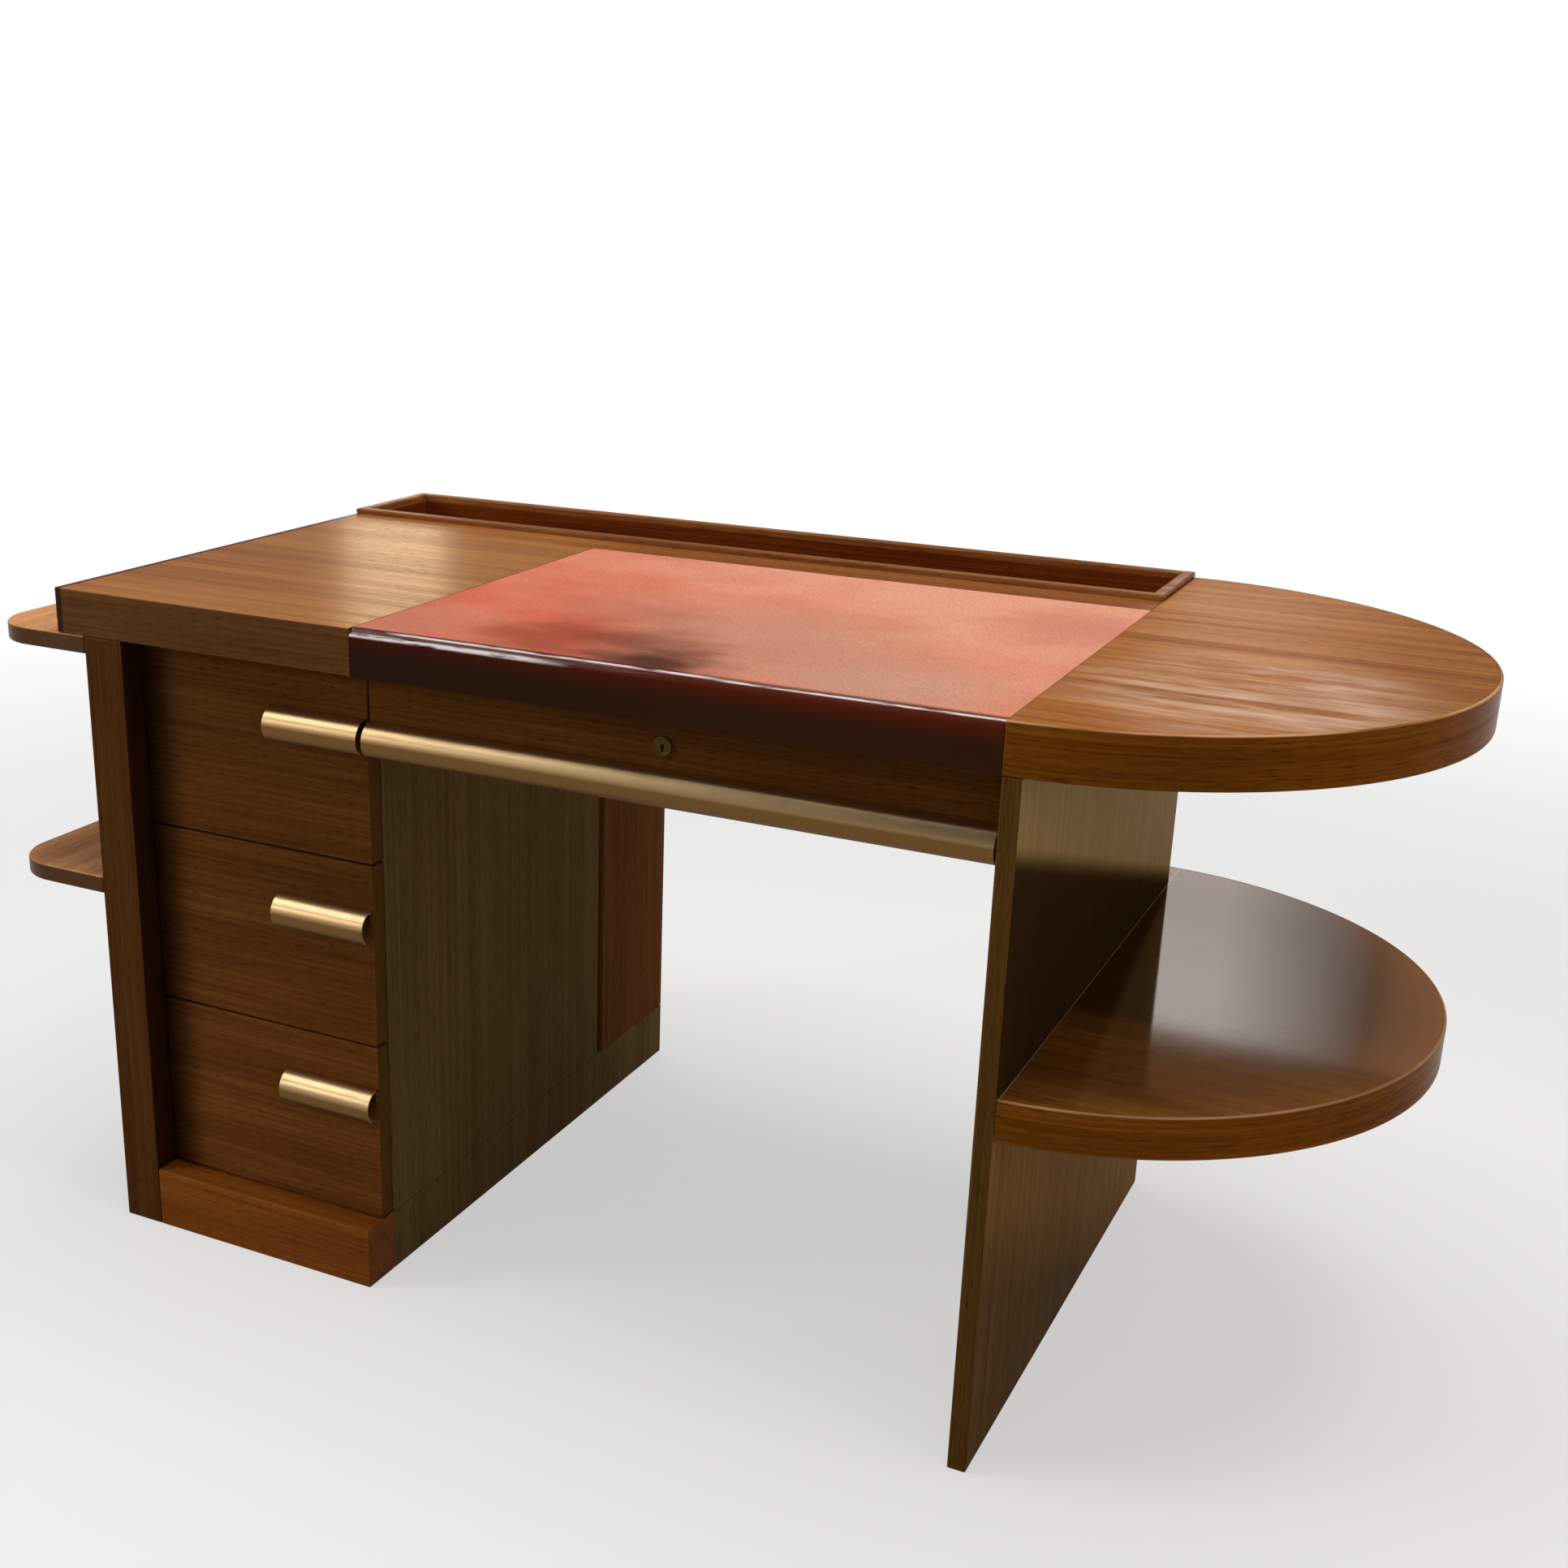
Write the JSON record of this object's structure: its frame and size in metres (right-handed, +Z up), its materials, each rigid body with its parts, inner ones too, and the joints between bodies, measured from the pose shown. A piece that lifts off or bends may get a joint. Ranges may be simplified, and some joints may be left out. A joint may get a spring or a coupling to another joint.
{
  "type": "architect's desk",
  "caption": "Writing desk with a drawer pedestal, leather writing panel, rear pencil trough, half-round end on a slab leg, half-round shelf and rounded side shelves.",
  "frame": {"origin": "middle of the desk's footprint, on the floor", "axes": "+X from the pedestal to the half-round end, +Y from the front to the back, +Z up"},
  "size_m": [1.542, 0.728, 0.7663],
  "materials": {
    "mahogany": "French-polished mahogany veneer, satin, worn lighter at the edges",
    "dark_mahogany": "dark polished mahogany with a straight vertical grain",
    "lining": "plain planed oak, unpolished",
    "leather": "red-brown polished leather, darkened by wear at the front",
    "brass": "aged brass, rubbed bright on top",
    "lock_steel": "plain steel"
  },
  "bodies": {
    "carcass": {"main_top": "mahogany", "leather_top": "leather", "d_top": "mahogany", "trough_front_wall": "mahogany", "trough_back_wall": "mahogany", "trough_left_end": "mahogany", "trough_right_end": "mahogany", "trough_floor": "mahogany", "rim_front": "mahogany", "rim_back": "mahogany", "rim_left": "mahogany", "rim_right": "mahogany", "left_side_panel": "mahogany", "left_shelf_upper": "mahogany", "left_shelf_lower": "mahogany", "inner_side_panel": "dark_mahogany", "rear_side_panel": "mahogany", "pedestal_floor": "lining", "drawer_bay_back": "lining", "pedestal_rear_panel": "mahogany", "plinth_front": "mahogany", "plinth_side": "dark_mahogany", "plinth_rear": "mahogany", "right_leg_panel": "dark_mahogany", "right_shelf": "mahogany", "bottom_drawer_left_runner": "lining", "bottom_drawer_right_runner": "lining", "middle_drawer_left_runner": "lining", "middle_drawer_right_runner": "lining", "top_drawer_left_runner": "lining", "top_drawer_right_runner": "lining", "centre_drawer_left_runner": "lining", "centre_drawer_right_runner": "lining"},
    "top_drawer": {"top_drawer_front": "mahogany", "top_drawer_left_side": "lining", "top_drawer_right_side": "lining", "top_drawer_back": "lining", "top_drawer_bottom": "lining", "top_drawer_pull": "brass"},
    "middle_drawer": {"middle_drawer_front": "mahogany", "middle_drawer_left_side": "lining", "middle_drawer_right_side": "lining", "middle_drawer_back": "lining", "middle_drawer_bottom": "lining", "middle_drawer_pull": "brass"},
    "bottom_drawer": {"bottom_drawer_front": "mahogany", "bottom_drawer_left_side": "lining", "bottom_drawer_right_side": "lining", "bottom_drawer_back": "lining", "bottom_drawer_bottom": "lining", "bottom_drawer_pull": "brass"},
    "centre_drawer": {"centre_drawer_front": "mahogany", "centre_drawer_left_side": "lining", "centre_drawer_right_side": "lining", "centre_drawer_back": "lining", "centre_drawer_bottom": "lining", "centre_drawer_pull": "brass", "lock_plate": "brass", "lock_case": "lock_steel"},
    "lock_bolt": {"lock_bolt": "brass"}
  },
  "joints": [
    {"name": "top_drawer_slide", "type": "slide", "parent": "carcass", "child": "top_drawer", "axis": [0, -1, 0], "range_m": [0, 0.36]},
    {"name": "middle_drawer_slide", "type": "slide", "parent": "carcass", "child": "middle_drawer", "axis": [0, -1, 0], "range_m": [0, 0.36]},
    {"name": "bottom_drawer_slide", "type": "slide", "parent": "carcass", "child": "bottom_drawer", "axis": [0, -1, 0], "range_m": [0, 0.36]},
    {"name": "centre_drawer_slide", "type": "slide", "parent": "carcass", "child": "centre_drawer", "axis": [0, -1, 0], "range_m": [0, 0.36]},
    {"name": "lock_bolt_slide", "type": "slide", "parent": "centre_drawer", "child": "lock_bolt", "axis": [0, 0, 1], "range_m": [0, 0.008]}
  ]
}
